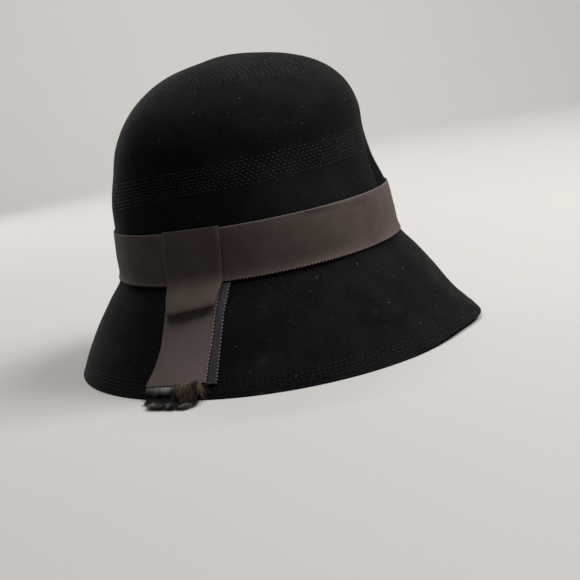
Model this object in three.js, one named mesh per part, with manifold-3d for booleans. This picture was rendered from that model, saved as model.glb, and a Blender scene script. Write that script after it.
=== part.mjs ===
// Cloche hat: a one-piece blocked felt body, a grosgrain band and a flat bow with frayed tail ends.
// Sizes are in millimetres. +Z is up, the front of the hat is -Y, the wearer's right is -X.
import * as THREE from "three";
import { ParametricGeometry } from "three/addons/geometries/ParametricGeometry.js";
import { mergeGeometries, mergeVertices } from "three/addons/utils/BufferGeometryUtils.js";
import Module from "manifold-3d";

const wasm = await Module();
wasm.setup();

// Felt wall and its turned edge
const FELT_WALL = 2.2;
const HEM_WALL = 3.0;
const HEM_DEPTH = 14;
const HEM_ROUND = 0.7;
const HEM_STRIPS = 3;
const FRONT_RISE = 2.8;
const RIM_FLAT_SHARE = 0.78;
const FRONT_POINT = 5.2;
const FRONT_POINT_SHARPNESS = 72;

// Ribbon and the clearance between pieces
const RIBBON = 1.0;
const GAP = 0.3;

// Felt sections from the rim up: reach from the axis to the front, back and side, and strips to the next row
const SECTIONS = [
  { name: "rim", height: 0, front: 149.7, back: 162.0, side: 127.7, strips: 2 },
  { name: "brim low", height: 17.4, front: 136.6, back: 152.7, side: 119.0, strips: 2 },
  { name: "brim middle", height: 34.8, front: 126.2, back: 141.7, side: 110.8, strips: 2 },
  { name: "brim high", height: 52.2, front: 115.2, back: 127.9, side: 102.3, strips: 2 },
  { name: "band foot", height: 69.6, front: 104.0, back: 113.5, side: 93.0, strips: 2 },
  { name: "band middle", height: 87.5, front: 101.9, back: 111.3, side: 91.3, strips: 2 },
  { name: "band head", height: 105.4, front: 99.9, back: 109.1, side: 89.7, strips: 3 },
  { name: "wall low", height: 125.1, front: 93.6, back: 107.0, side: 86.1, strips: 3 },
  { name: "wall high", height: 144.8, front: 90.4, back: 101.2, side: 82.3, strips: 2 },
  { name: "shoulder low", height: 164.5, front: 89.9, back: 94.6, side: 79.4, strips: 2 },
  { name: "shoulder", height: 182.0, front: 83.4, back: 82.9, side: 71.6, strips: 2 },
  { name: "shoulder high", height: 196.2, front: 70.2, back: 66.3, side: 58.8, strips: 2 },
  { name: "dome", height: 207.1, front: 48.9, back: 44.3, side: 40.2, strips: 2 },
  { name: "dome high", height: 213.1, front: 20.8, back: 15.5, side: 15.7, strips: 1 },
  { name: "tip", height: 214.8, front: 0, back: 0, side: 0, strips: 0 },
];
const TIP_ROW = SECTIONS.length - 1;
const rowNamed = (name) => SECTIONS.findIndex((section) => section.name === name);
const BAND_FOOT_ROW = rowNamed("band foot");
const BAND_HEAD_ROW = rowNamed("band head");
const BREAK_HEIGHT = SECTIONS[BAND_FOOT_ROW].height;

// Columns round the hat stand closer together at the front, where the crown is pinched
const COLUMNS = 64;
const FRONT_CROWDING = 0.55;

// Pinch at the front of the crown: deepest at the band, narrowing and leaning as it climbs. The crease is the
// share of a straight-sided fold in its rounded section, and its centre and half width are in degrees
const PINCH = { foot: 104, top: 148, tuck: 22, depth: 8, crease: 0.4 };
const PINCH_FOOT = { centre: -0.5, half: 9.5 };
const PINCH_TOP = { centre: -8, half: 4.5 };

// Bow straps: height on the felt, edges as degrees round from the front towards the wearer's right,
// lift off the felt and how much higher the front edge sits than the back edge
const KNOT = [
  { name: "head", height: 106.6, backEdge: 108, frontEdge: 85, lift: 1.7, slant: 0 },
  { name: "middle", height: 88, backEdge: 109.2, frontEdge: 86, lift: 1.9, slant: 0 },
  { name: "foot", height: 72, backEdge: 109.3, frontEdge: 87, lift: 2.9, slant: 1 },
  { name: "shelf", height: 62, backEdge: 107.9, frontEdge: 88, lift: 5.0, slant: 3 },
  { name: "lip", height: 52.8, backEdge: 106, frontEdge: 89.6, lift: 6.4, slant: 4 },
];
const FRONT_TAIL = [
  { name: "root", height: 68.2, backEdge: 108.6, frontEdge: 88.2, lift: 1.6, slant: 0 },
  { name: "high", height: 50, backEdge: 107.4, frontEdge: 90.2, lift: 1.6, slant: 0 },
  { name: "middle", height: 33, backEdge: 107.1, frontEdge: 91.3, lift: 1.6, slant: 0 },
  { name: "low", height: 21, backEdge: 108.3, frontEdge: 92.3, lift: 1.6, slant: 1 },
  { name: "end", height: 9.4, backEdge: 110.7, frontEdge: 93, lift: 1.6, slant: 2.5 },
];
const BACK_TAIL = [
  { name: "root", height: 68.2, backEdge: 104.6, frontEdge: 84.6, lift: 0.3, slant: 0 },
  { name: "high", height: 51, backEdge: 106.4, frontEdge: 87.3, lift: 0.3, slant: 0 },
  { name: "middle", height: 27, backEdge: 108, frontEdge: 89.3, lift: 0.3, slant: 0 },
  { name: "end", height: 9.4, backEdge: 110, frontEdge: 90.2, lift: 0.3, slant: 1 },
];

// Frayed threads past the rim: locks fanned over the width of the tails, joined by a head
const FRAY = { backEdge: 109.6, frontEdge: 93, rootHeight: 6.2, rootLift: 2.3 };
const FRAY_HEAD = { out: 1.2, radius: 1.5, stops: 5, steps: 8, quarterFacets: 4 };
const FRAY_LEAN = 27;
const FRAY_END_SHARE = 0.6;
const LOCKS_OF_EACH = 8;
const LONG_LOCK = [
  { name: "root", out: 0.0, height: 6.2, half: 2.2, thick: 1.2 },
  { name: "fall", out: 5.5, height: 3.4, half: 2.9, thick: 1.2 },
  { name: "floor", out: 11.5, height: 1.6, half: 2.9, thick: 1.2 },
  { name: "belly", out: 18.0, height: 1.5, half: 2.7, thick: 1.2 },
  { name: "turn", out: 22.5, height: 2.9, half: 2.1, thick: 1.0 },
  { name: "curl", out: 23.5, height: 5.4, half: 1.3, thick: 0.7 },
];
const SHORT_LOCK = [
  { name: "root", out: 0.0, height: 6.4, half: 2.2, thick: 1.1 },
  { name: "arch", out: 3.5, height: 8.0, half: 2.3, thick: 1.1 },
  { name: "droop", out: 7.0, height: 7.6, half: 1.8, thick: 0.9 },
  { name: "end", out: 10.0, height: 6.0, half: 1.0, thick: 0.6 },
];
const LOCK_VARIATION = 0.1;
const LOCK_PHASE = 2.4;
const LONG_START = 0.6;
const SHORT_START = 2.1;
const LOCK_FACETS = 6;
const LOCK_STOPS = 6;

// Facets of the straps, and the fineness of slopes, height searches and welds
const KNOT_GRID = { across: 8, along: 12 };
const FRONT_TAIL_GRID = { across: 6, along: 12 };
const BACK_TAIL_GRID = { across: 6, along: 10 };
const SLOPE_STEP = 0.004;
const HEIGHT_HALVINGS = 40;
const WELD = 1e-3;

// Surface of the felt
const UP = new THREE.Vector3(0, 0, 1);
const radians = THREE.MathUtils.degToRad;
const { lerp, smoothstep } = THREE.MathUtils;

// One point of a section at an angle round from the front
function sectionPoint(section, angle) {
  const forward = Math.cos(angle);
  const share = Math.max(0, 1 - section.height / BREAK_HEIGHT);
  const point = FRONT_POINT * share ** 2 * Math.max(0, forward) ** FRONT_POINT_SHARPNESS;
  const reach = forward > 0 ? section.front + point : section.back;
  const rise = FRONT_RISE * smoothstep(forward, RIM_FLAT_SHARE, 1);
  return new THREE.Vector3(
    -section.side * Math.sin(angle),
    -reach * forward,
    section.height + rise * share,
  );
}

// Curve from the rim up over the tip at an angle; it runs one row past the tip so that the top is smooth
function meridian(angle) {
  const points = SECTIONS.map((section) => sectionPoint(section, angle));
  points.push(sectionPoint(SECTIONS[TIP_ROW - 1], angle + Math.PI));
  return new THREE.CatmullRomCurve3(points, false, "centripetal");
}

function blockedPoint(angle, row) {
  return meridian(angle).getPoint(row / (TIP_ROW + 1));
}

// Depth of the pinch at an angle and height
function pinchDepth(angle, height) {
  const climb = THREE.MathUtils.clamp((height - PINCH.foot) / (PINCH.top - PINCH.foot), 0, 1);
  const centre = radians(lerp(PINCH_FOOT.centre, PINCH_TOP.centre, climb));
  const half = radians(lerp(PINCH_FOOT.half, PINCH_TOP.half, climb));
  const turn = Math.atan2(Math.sin(angle - centre), Math.cos(angle - centre));
  const across = Math.min(1, Math.abs(turn) / half);
  const rounded = (1 + Math.cos(Math.PI * across)) / 2;
  const below = smoothstep(height, PINCH.foot - PINCH.tuck, PINCH.foot);
  const above = 1 - smoothstep(climb, 0, 1);
  return PINCH.depth * below * above * lerp(rounded, 1 - across, PINCH.crease);
}

function feltPoint(angle, row) {
  const point = blockedPoint(angle, row);
  const radius = Math.hypot(point.x, point.y);
  const depth = pinchDepth(angle, point.z);
  if (depth > 0) {
    point.x *= 1 - depth / radius;
    point.y *= 1 - depth / radius;
  }
  return point;
}

// Outward normal of a surface given as a function of angle and row
function surfaceNormal(surface, angle, row) {
  const high = Math.min(row + SLOPE_STEP, TIP_ROW - SLOPE_STEP);
  const low = Math.max(high - 2 * SLOPE_STEP, 0);
  const middle = (high + low) / 2;
  const along = surface(angle, high).sub(surface(angle, low));
  const round = surface(angle + SLOPE_STEP, middle).sub(surface(angle - SLOPE_STEP, middle));
  return along.cross(round).normalize();
}

function offsetPoint(surface, angle, row, distance) {
  const normal = surfaceNormal(surface, angle, row);
  return surface(angle, row).addScaledVector(normal, distance);
}

// Row at which the blocked surface reaches a height
function rowAtHeight(angle, height) {
  let low = 0;
  let high = TIP_ROW;
  for (let turn = 0; turn < HEIGHT_HALVINGS; turn += 1) {
    const middle = (low + high) / 2;
    if (blockedPoint(angle, middle).z < height) low = middle;
    else high = middle;
  }
  return low;
}

// Building blocks

// Grid of a point function over u and v in 0..1
function patch(pointAt, slices, stacks) {
  const geometry = new ParametricGeometry((u, v, target) => target.copy(pointAt(u, v)), slices, stacks);
  geometry.deleteAttribute("normal");
  geometry.deleteAttribute("uv");
  return geometry;
}

// One closed solid from patches that share their edges; faces are turned outward together
function closedSolid(patches) {
  const merged = mergeVertices(mergeGeometries(patches), WELD);
  const index = merged.index.array;
  const triVerts = [];
  for (let i = 0; i < index.length; i += 3) {
    const [a, b, c] = [index[i], index[i + 1], index[i + 2]];
    if (a !== b && b !== c && c !== a) triVerts.push(a, b, c);
  }
  const vertProperties = merged.attributes.position.array;
  const build = (order) =>
    new wasm.Manifold(new wasm.Mesh({ numProp: 3, vertProperties, triVerts: new Uint32Array(order) }));
  const solid = build(triVerts);
  if (solid.volume() > 0) return solid;
  return build(triVerts.toReversed());
}

function geometryOf(solid) {
  const mesh = solid.getMesh();
  const geometry = new THREE.BufferGeometry();
  geometry.setAttribute("position", new THREE.BufferAttribute(mesh.vertProperties, 3));
  geometry.setIndex(new THREE.BufferAttribute(mesh.triVerts, 1));
  geometry.computeVertexNormals();
  return geometry;
}

// Felt body
const columnAngle = (u) => 2 * Math.PI * u - FRONT_CROWDING * Math.sin(2 * Math.PI * u);

// Rows of the grid from the rim to the tip, each section split into its strips
const FELT_ROWS = SECTIONS.flatMap((section, row) =>
  Array.from({ length: section.strips }, (_, strip) => row + strip / section.strips),
).concat(TIP_ROW);

function wallAt(height) {
  return lerp(HEM_WALL, FELT_WALL, smoothstep(height, 0, HEM_DEPTH));
}

// Inner face of the felt; the lowest ring stays level with the rim so that the edge is flat underneath
function liningPoint(angle, row) {
  const outer = feltPoint(angle, row);
  if (row === TIP_ROW) return outer.setZ(outer.z - FELT_WALL);
  const normal = surfaceNormal(feltPoint, angle, row);
  if (row > 0) return outer.addScaledVector(normal, -wallAt(outer.z));
  const level = new THREE.Vector3(normal.x, normal.y, 0);
  const inset = HEM_WALL / level.length();
  return outer.addScaledVector(level.normalize(), -inset);
}

// Rounded edge: from the outer face, under the rim to the inner face
function hemPoint(angle, share) {
  const outer = feltPoint(angle, 0);
  const inner = liningPoint(angle, 0);
  const across = inner.clone().sub(outer).normalize().multiplyScalar(HEM_ROUND);
  const lift = new THREE.Vector3(0, 0, HEM_ROUND);
  const stops = [
    outer.clone().add(lift),
    outer.clone().add(across),
    inner.clone().sub(across),
    inner.clone().add(lift),
  ];
  return stops[Math.round(share * HEM_STRIPS)];
}

function feltBody() {
  const stacks = FELT_ROWS.length - 1;
  const rowOf = (v) => FELT_ROWS[Math.round(v * stacks)];
  const face = (pointAt, share) => (u, v) => {
    const angle = columnAngle(u);
    return v === 0 ? hemPoint(angle, share) : pointAt(angle, rowOf(v));
  };
  return closedSolid([
    patch(face(feltPoint, 0), COLUMNS, stacks),
    patch((u, v) => face(liningPoint, 1)(1 - u, v), COLUMNS, stacks),
    patch((u, v) => hemPoint(columnAngle(u), 1 - v), COLUMNS, HEM_STRIPS),
  ]);
}

// Hat band: a ring that follows the blocked felt between the foot and the head of the band
function hatBand() {
  const rows = FELT_ROWS.filter((row) => row >= BAND_FOOT_ROW && row <= BAND_HEAD_ROW);
  const stacks = rows.length - 1;
  const face = (distance) => (u, v) =>
    offsetPoint(blockedPoint, columnAngle(u), rows[Math.round(v * stacks)], distance);
  const inner = face(GAP);
  const outer = face(GAP + RIBBON);
  const edge = (v) => (u, share) => (share < 0.5 ? inner(u, v) : outer(u, v));
  return closedSolid([
    patch(outer, COLUMNS, stacks),
    patch((u, v) => inner(1 - u, v), COLUMNS, stacks),
    patch(edge(0), COLUMNS, 1),
    patch((u, v) => edge(1)(1 - u, v), COLUMNS, 1),
  ]);
}

// Bow straps

// Value of a named column of a table at a place between its rows
function columnAt(rows, name, place) {
  const points = rows.map((row, index) => new THREE.Vector3(index, row[name], 0));
  return new THREE.CatmullRomCurve3(points, false, "chordal").getPoint(place).y;
}

function strapPoint(rows, across, along, distance) {
  const at = (name) => columnAt(rows, name, along);
  const angle = radians(lerp(at("backEdge"), at("frontEdge"), across));
  const height = at("height") + at("slant") * (across - 0.5);
  return offsetPoint(blockedPoint, angle, rowAtHeight(angle, height), at("lift") + distance);
}

// Strap of ribbon laid on the hat: two faces and the edge round them
function strap(rows, grid) {
  const { across, along } = grid;
  const lower = (u, v) => strapPoint(rows, u, v, 0);
  const upper = (u, v) => strapPoint(rows, u, v, RIBBON);
  const pick = (share) => (share < 0.5 ? lower : upper);
  return closedSolid([
    patch(upper, across, along),
    patch((u, v) => lower(1 - u, v), across, along),
    patch((u, share) => pick(share)(u, 0), across, 1),
    patch((u, share) => pick(share)(1 - u, 1), across, 1),
    patch((v, share) => pick(share)(0, 1 - v), along, 1),
    patch((v, share) => pick(share)(1, v), along, 1),
  ]);
}

// Frayed end

// Level direction in which the threads at an angle leave the rim, leaning to the front
function frayDirection(angle) {
  const normal = surfaceNormal(blockedPoint, angle, 0).setZ(0).normalize();
  return normal.applyAxisAngle(UP, radians(FRAY_LEAN));
}

// Place out from the rim at an angle and a height
function frayPoint(angle, out, height) {
  const root = offsetPoint(blockedPoint, angle, rowAtHeight(angle, FRAY.rootHeight), FRAY.rootLift);
  return root.addScaledVector(frayDirection(angle), out).setZ(height);
}

// One lock: an oval strip along its path, drawn to a point at both ends
function lock(rows, angle, stretch) {
  const path = new THREE.CatmullRomCurve3(
    rows.map((row) => frayPoint(angle, row.out * stretch, row.height)),
  );
  const side = frayDirection(angle).cross(UP);
  const pointAt = (u, v) => {
    const centre = path.getPoint(v);
    if (v === 0 || v === 1) return centre;
    const over = path.getTangent(v).cross(side).normalize();
    const turn = 2 * Math.PI * u;
    return centre
      .addScaledVector(side, Math.cos(turn) * columnAt(rows, "half", v))
      .addScaledVector(over, Math.sin(turn) * columnAt(rows, "thick", v));
  };
  return closedSolid([patch(pointAt, LOCK_FACETS, LOCK_STOPS)]);
}

// Locks spread over the width, longest in the middle and each a little off the next, fused to the head
function frayedEnd() {
  const spread = (rows, phase) =>
    Array.from({ length: LOCKS_OF_EACH }, (_, index) => {
      const share = (index + 0.5) / LOCKS_OF_EACH;
      const angle = radians(lerp(FRAY.backEdge, FRAY.frontEdge, share));
      const arch = lerp(FRAY_END_SHARE, 1, Math.sin(Math.PI * share));
      return lock(rows, angle, arch + LOCK_VARIATION * Math.sin(phase + index * LOCK_PHASE));
    });
  const ends = [FRAY.backEdge, FRAY.frontEdge].map(radians);
  const { out, radius, stops, steps, quarterFacets } = FRAY_HEAD;
  const extrudePath = new THREE.CatmullRomCurve3(
    Array.from({ length: stops }, (_, stop) =>
      frayPoint(lerp(...ends, stop / (stops - 1)), out, FRAY.rootHeight),
    ),
  );
  const round = new THREE.Shape().absarc(0, 0, radius, 0, 2 * Math.PI);
  const head = new THREE.ExtrudeGeometry(round, { steps, curveSegments: quarterFacets, extrudePath });
  head.deleteAttribute("normal");
  head.deleteAttribute("uv");
  return [...spread(LONG_LOCK, LONG_START), ...spread(SHORT_LOCK, SHORT_START)].reduce(
    (joined, one) => joined.add(one),
    closedSolid([mergeVertices(head, WELD)]),
  );
}

// Finishes
const felt = { color: 0x17181a, roughness: 0.93, metalness: 0 };
const ribbon = { color: 0x4a4140, roughness: 0.7, metalness: 0 };
const threads = { color: 0x57504b, roughness: 0.95, metalness: 0 };

const hat = new THREE.Group();
function addPiece(name, solid, finish) {
  const mesh = new THREE.Mesh(geometryOf(solid), new THREE.MeshStandardMaterial(finish));
  mesh.name = name;
  hat.add(mesh);
}

addPiece("felt_body", feltBody(), felt);
addPiece("hat_band", hatBand(), ribbon);
addPiece("bow_knot", strap(KNOT, KNOT_GRID), ribbon);
addPiece("bow_tail_front", strap(FRONT_TAIL, FRONT_TAIL_GRID), ribbon);
addPiece("bow_tail_back", strap(BACK_TAIL, BACK_TAIL_GRID), ribbon);
addPiece("frayed_end", frayedEnd(), threads);

// The part's origin is the middle of the foot of its bounding box
const box = new THREE.Box3().setFromObject(hat);
const foot = box.getCenter(new THREE.Vector3()).setZ(box.min.z);
hat.position.sub(foot);
const part = new THREE.Group();
part.add(hat);

export default part;
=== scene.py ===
"""Dresses a felt cloche hat: blocked felt, topstitching, a grosgrain band and a flat bow with a frayed end.

Lengths in the classes are millimetres in the hat's own frame. Its axis runs up through the tip, the front of
the hat is -Y and the wearer's right is -X. HatForm.place turns such points into metres in the part's frame.
Angles round the hat start at the front and grow towards the wearer's right.
"""
import logging
import math
from collections.abc import Callable
from dataclasses import dataclass, field
from enum import Enum

import bmesh
import bpy
import numpy as np
from mathutils import Matrix, Vector


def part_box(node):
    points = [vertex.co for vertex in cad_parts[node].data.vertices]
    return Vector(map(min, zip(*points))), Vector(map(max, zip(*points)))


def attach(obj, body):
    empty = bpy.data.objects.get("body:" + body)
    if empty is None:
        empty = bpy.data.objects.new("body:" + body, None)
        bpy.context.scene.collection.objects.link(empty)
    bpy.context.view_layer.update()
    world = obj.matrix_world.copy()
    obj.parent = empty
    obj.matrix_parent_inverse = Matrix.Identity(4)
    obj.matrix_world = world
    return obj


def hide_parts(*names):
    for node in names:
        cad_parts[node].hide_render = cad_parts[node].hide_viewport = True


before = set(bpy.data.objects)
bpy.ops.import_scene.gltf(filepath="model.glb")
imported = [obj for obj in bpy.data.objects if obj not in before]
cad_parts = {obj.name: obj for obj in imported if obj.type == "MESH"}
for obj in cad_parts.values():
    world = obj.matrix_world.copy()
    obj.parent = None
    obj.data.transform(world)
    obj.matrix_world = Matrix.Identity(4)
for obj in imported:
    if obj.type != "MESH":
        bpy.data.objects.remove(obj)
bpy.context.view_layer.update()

BODY = "root"
MM = 0.001
TURN = 2 * math.pi
WELD = 1e-6

Array = np.ndarray
Colour = tuple[float, float, float, float]
Surface = Callable[[Array, Array], Array]

log = logging.getLogger("cloche_hat")


class Slot(Enum):
    """Material slots of the record."""

    FELT = "felt"
    RIBBON = "ribbon"
    THREADS = "threads"


class Held(Enum):
    """How a length of ribbon stays on the hat."""

    STRETCHED = "stretched"
    FOLDED = "folded"
    LAID = "laid"


# Numbers and curves


def mix(start: Array | float, end: Array | float, share: Array | float) -> Array | float:
    """Value that lies a share of the way from start to end."""
    return start + (end - start) * share


def smoothstep(value: Array, low: float, high: float) -> Array:
    """Share of the way from low to high, eased at both ends."""
    share = np.clip((value - low) / (high - low), 0.0, 1.0)
    return share * share * (3.0 - 2.0 * share)


def unit(vectors: Array) -> Array:
    """Vectors of the last axis, each scaled to length one."""
    return vectors / np.linalg.norm(vectors, axis=-1, keepdims=True)


def run_length(points: Array) -> Array:
    """Length of a line of points up to each of them."""
    steps = np.linalg.norm(np.diff(points, axis=0), axis=1)
    return np.concatenate([[0.0], np.cumsum(steps)])


def curve_between(knots: tuple[Array, ...], share: Array, power: float) -> Array:
    """Points of a Catmull-Rom curve between its two middle knots.

    Args:
        knots: Four arrays of points, one row for each curve.
        share: Share of the way from the second knot to the third, one for each curve.
        power: Power of the squared distance that spaces the knots.

    Returns:
        One point for each curve.
    """
    p0, p1, p2, p3 = knots
    pairs = ((p0, p1), (p1, p2), (p2, p3))
    before, here, after = (np.sum((b - a) ** 2, axis=-1, keepdims=True) ** power for a, b in pairs)
    leave = ((p1 - p0) / before - (p2 - p0) / (before + here) + (p2 - p1) / here) * here
    reach = ((p2 - p1) / here - (p3 - p1) / (here + after) + (p3 - p2) / after) * here
    t = share[:, None]
    square = (3 * (p2 - p1) - 2 * leave - reach) * t**2
    cube = (2 * (p1 - p2) + leave + reach) * t**3
    return p1 + leave * t + square + cube


def table_curve(points: Array, place: Array, power: float = 0.5) -> Array:
    """Points of a Catmull-Rom curve through a table, at places from 0 to 1.

    Args:
        points: Rows of the table.
        place: Places along the curve, equal steps for equal rows.
        power: Power of the squared distance that spaces the rows.

    Returns:
        One row for each place.
    """
    padded = np.vstack([2 * points[0] - points[1], points, 2 * points[-1] - points[-2]])
    at = np.clip(place, 0.0, 1.0) * (len(points) - 1)
    start = np.minimum(at.astype(int), len(points) - 2)
    knots = tuple(padded[start + step] for step in range(4))
    return curve_between(knots, at - start, power)


def table_columns(table: Array, place: Array) -> list[Array]:
    """Columns of a table at places from 0 to 1, each curved on its own.

    Args:
        table: Rows of numbers.
        place: Places along the table, equal steps for equal rows.

    Returns:
        One array for each column.
    """
    steps = np.arange(len(table), dtype=float)
    return [table_curve(np.column_stack([steps, column]), place)[:, 1] for column in table.T]


# The felt's form


@dataclass(frozen=True)
class Section:
    """One level of the felt: its height and its reach from the axis."""

    height: float
    front: float
    back: float
    side: float


@dataclass(frozen=True)
class Pinch:
    """Dent at the front of the crown, deepest at the band, narrowing and leaning as it climbs."""

    foot: float = 104.0
    top: float = 148.0
    tuck: float = 22.0
    depth: float = 8.0
    crease: float = 0.4
    foot_centre: float = -0.5
    foot_half: float = 9.5
    top_centre: float = -8.0
    top_half: float = 4.5

    def depth_at(self, angle: Array, height: Array) -> Array:
        """Depth of the dent.

        Args:
            angle: Angles round the hat.
            height: Heights on the crown.

        Returns:
            How far the felt is pushed in at each place.
        """
        climb = np.clip((height - self.foot) / (self.top - self.foot), 0.0, 1.0)
        turn = angle - np.radians(mix(self.foot_centre, self.top_centre, climb))
        half = np.radians(mix(self.foot_half, self.top_half, climb))
        across = np.minimum(1.0, np.abs(np.arctan2(np.sin(turn), np.cos(turn))) / half)
        rounded = (1 + np.cos(np.pi * across)) / 2
        fade = smoothstep(height, self.foot - self.tuck, self.foot) * (1 - smoothstep(climb, 0.0, 1.0))
        return self.depth * fade * mix(rounded, 1 - across, self.crease)


@dataclass
class HatForm:
    """The surface of the felt, worked out from its sections from the rim to the tip."""

    axis: Vector
    sections: tuple[Section, ...] = (
        Section(0.0, 149.7, 162.0, 127.7),
        Section(17.4, 136.6, 152.7, 119.0),
        Section(34.8, 126.2, 141.7, 110.8),
        Section(52.2, 115.2, 127.9, 102.3),
        Section(69.6, 104.0, 113.5, 93.0),
        Section(87.5, 101.9, 111.3, 91.3),
        Section(105.4, 99.9, 109.1, 89.7),
        Section(125.1, 93.6, 107.0, 86.1),
        Section(144.8, 90.4, 101.2, 82.3),
        Section(164.5, 89.9, 94.6, 79.4),
        Section(182.0, 83.4, 82.9, 71.6),
        Section(196.2, 70.2, 66.3, 58.8),
        Section(207.1, 48.9, 44.3, 40.2),
        Section(213.1, 20.8, 15.5, 15.7),
        Section(214.8, 0.0, 0.0, 0.0),
    )
    band_foot: int = 4
    band_head: int = 6
    front_rise: float = 2.8
    flat_share: float = 0.78
    front_point: float = 5.2
    point_sharpness: float = 72.0
    pinch: Pinch = field(default_factory=Pinch)
    knot_power: float = 0.25
    slope_step: float = 0.004
    halvings: int = 40

    @classmethod
    def inside(cls, low: Vector, high: Vector) -> "HatForm":
        """The form that fills the box of the felt solid.

        Args:
            low: Lowest corner of the box, in metres.
            high: Highest corner of the box, in metres.

        Returns:
            The form.
        """
        form = cls(Vector())
        form.axis = Vector(((low.x + high.x) / 2, high.y - form.sections[0].back * MM, low.z))
        return form

    @property
    def tip(self) -> int:
        """Row number of the tip."""
        return len(self.sections) - 1

    @property
    def band_width(self) -> float:
        """Height of the band."""
        return self.sections[self.band_head].height - self.sections[self.band_foot].height

    def place(self, points: Array) -> Array:
        """Points of the hat's frame as metres in the part's frame."""
        return points * MM + np.array(self.axis)

    def section_point(self, row: int, angle: Array) -> Array:
        """Points of one section.

        Args:
            row: Number of the section.
            angle: Angles round the hat.

        Returns:
            One point for each angle.
        """
        section = self.sections[row]
        forward = np.cos(angle)
        share = max(0.0, 1 - section.height / self.sections[self.band_foot].height)
        nose = self.front_point * share**2 * np.maximum(0.0, forward) ** self.point_sharpness
        reach = np.where(forward > 0, section.front + nose, section.back)
        lift = self.front_rise * smoothstep(forward, self.flat_share, 1.0) * share
        return np.stack([-section.side * np.sin(angle), -reach * forward, section.height + lift], axis=-1)

    def blocked(self, angle: Array, row: Array) -> Array:
        """Points of the felt without its dent.

        Args:
            angle: Angles round the hat.
            row: Places between the sections, counted from the rim.

        Returns:
            One point for each pair.
        """
        knots = [self.section_point(index, angle) for index in range(len(self.sections))]
        knots.append(self.section_point(self.tip - 1, angle + math.pi))
        knots.insert(0, 2 * knots[0] - knots[1])
        stacked = np.stack(knots)
        start = np.clip(row.astype(int), 0, self.tip - 1)
        pick = np.arange(len(angle))
        around = tuple(stacked[start + step, pick] for step in range(4))
        return curve_between(around, row - start, self.knot_power)

    def felt(self, angle: Array, row: Array) -> Array:
        """Points of the felt with its dent.

        Args:
            angle: Angles round the hat.
            row: Places between the sections, counted from the rim.

        Returns:
            One point for each pair.
        """
        points = self.blocked(angle, row)
        radius = np.maximum(np.hypot(points[:, 0], points[:, 1]), 1.0)
        points[:, :2] *= (1 - self.pinch.depth_at(angle, points[:, 2]) / radius)[:, None]
        return points

    def slopes(self, surface: Surface, angle: Array, row: Array) -> tuple[Array, Array]:
        """Directions of a surface.

        Args:
            surface: Gives points for angles and rows.
            angle: Angles round the hat.
            row: Places between the sections.

        Returns:
            Unit tangents round the hat and unit outward normals.
        """
        high = np.clip(row + self.slope_step, 2 * self.slope_step, self.tip - self.slope_step)
        low = high - 2 * self.slope_step
        middle = (high + low) / 2
        along = surface(angle, high) - surface(angle, low)
        tangent = surface(angle + self.slope_step, middle) - surface(angle - self.slope_step, middle)
        return unit(tangent), unit(np.cross(along, tangent))

    def offset(self, surface: Surface, angle: Array, row: Array, distance: Array | float) -> Array:
        """Points that stand off a surface.

        Args:
            surface: Gives points for angles and rows.
            angle: Angles round the hat.
            row: Places between the sections.
            distance: Distance along the outward normal.

        Returns:
            One point for each pair.
        """
        lift = np.broadcast_to(np.asarray(distance, dtype=float), angle.shape)
        return surface(angle, row) + self.slopes(surface, angle, row)[1] * lift[:, None]

    def row_at(self, angle: Array, height: Array | float) -> Array:
        """Places between the sections at which the blocked felt reaches a height.

        Args:
            angle: Angles round the hat.
            height: Heights to reach.

        Returns:
            One row for each angle.
        """
        low = np.zeros_like(angle)
        high = np.full_like(angle, float(self.tip))
        for _ in range(self.halvings):
            middle = (low + high) / 2
            below = self.blocked(angle, middle)[:, 2] < height
            low = np.where(below, middle, low)
            high = np.where(below, high, middle)
        return low


# Meshes


def flat_patch(across: int, along: int) -> bmesh.types.BMesh:
    """Flat grid from 0 to 1 both ways.

    Args:
        across: Faces along X.
        along: Faces along Y.

    Returns:
        The mesh.
    """
    bm = bmesh.new()
    bmesh.ops.create_grid(bm, x_segments=across, y_segments=along, size=0.5)
    bmesh.ops.translate(bm, verts=bm.verts, vec=(0.5, 0.5, 0.0))
    return bm


def coordinates(bm: bmesh.types.BMesh) -> Array:
    """Places of a mesh's vertices, one row each."""
    return np.array([vertex.co for vertex in bm.verts])


def move_to(bm: bmesh.types.BMesh, points: Array) -> None:
    """Puts a mesh's vertices at new places.

    Args:
        bm: The mesh.
        points: One place for each vertex.
    """
    for vertex, point in zip(bm.verts, points.tolist()):
        vertex.co = point


def weld(bm: bmesh.types.BMesh) -> None:
    """Joins vertices that lie at the same place."""
    bmesh.ops.remove_doubles(bm, verts=bm.verts, dist=WELD)


def mark(bm: bmesh.types.BMesh, name: str, values: Array) -> None:
    """Keeps a number on each vertex for the finish to read.

    Args:
        bm: The mesh.
        name: Name of the attribute.
        values: One number for each vertex.
    """
    layer = bm.verts.layers.float.new(name)
    for vertex, value in zip(bm.verts, values.tolist()):
        vertex[layer] = value


def add_object(name: str, mesh: bpy.types.Mesh) -> bpy.types.Object:
    """Links a smooth-shaded object at the origin.

    Args:
        name: Name of the object.
        mesh: Its mesh.

    Returns:
        The object.
    """
    mesh.shade_smooth()
    piece = bpy.data.objects.new(name, mesh)
    bpy.context.scene.collection.objects.link(piece)
    return piece


def object_from(bm: bmesh.types.BMesh, name: str) -> bpy.types.Object:
    """Makes an object of a mesh in work.

    Args:
        bm: The mesh, which is used up.
        name: Name of the object.

    Returns:
        The object.
    """
    mesh = bpy.data.meshes.new(name)
    bm.to_mesh(mesh)
    bm.free()
    return add_object(name, mesh)


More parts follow.
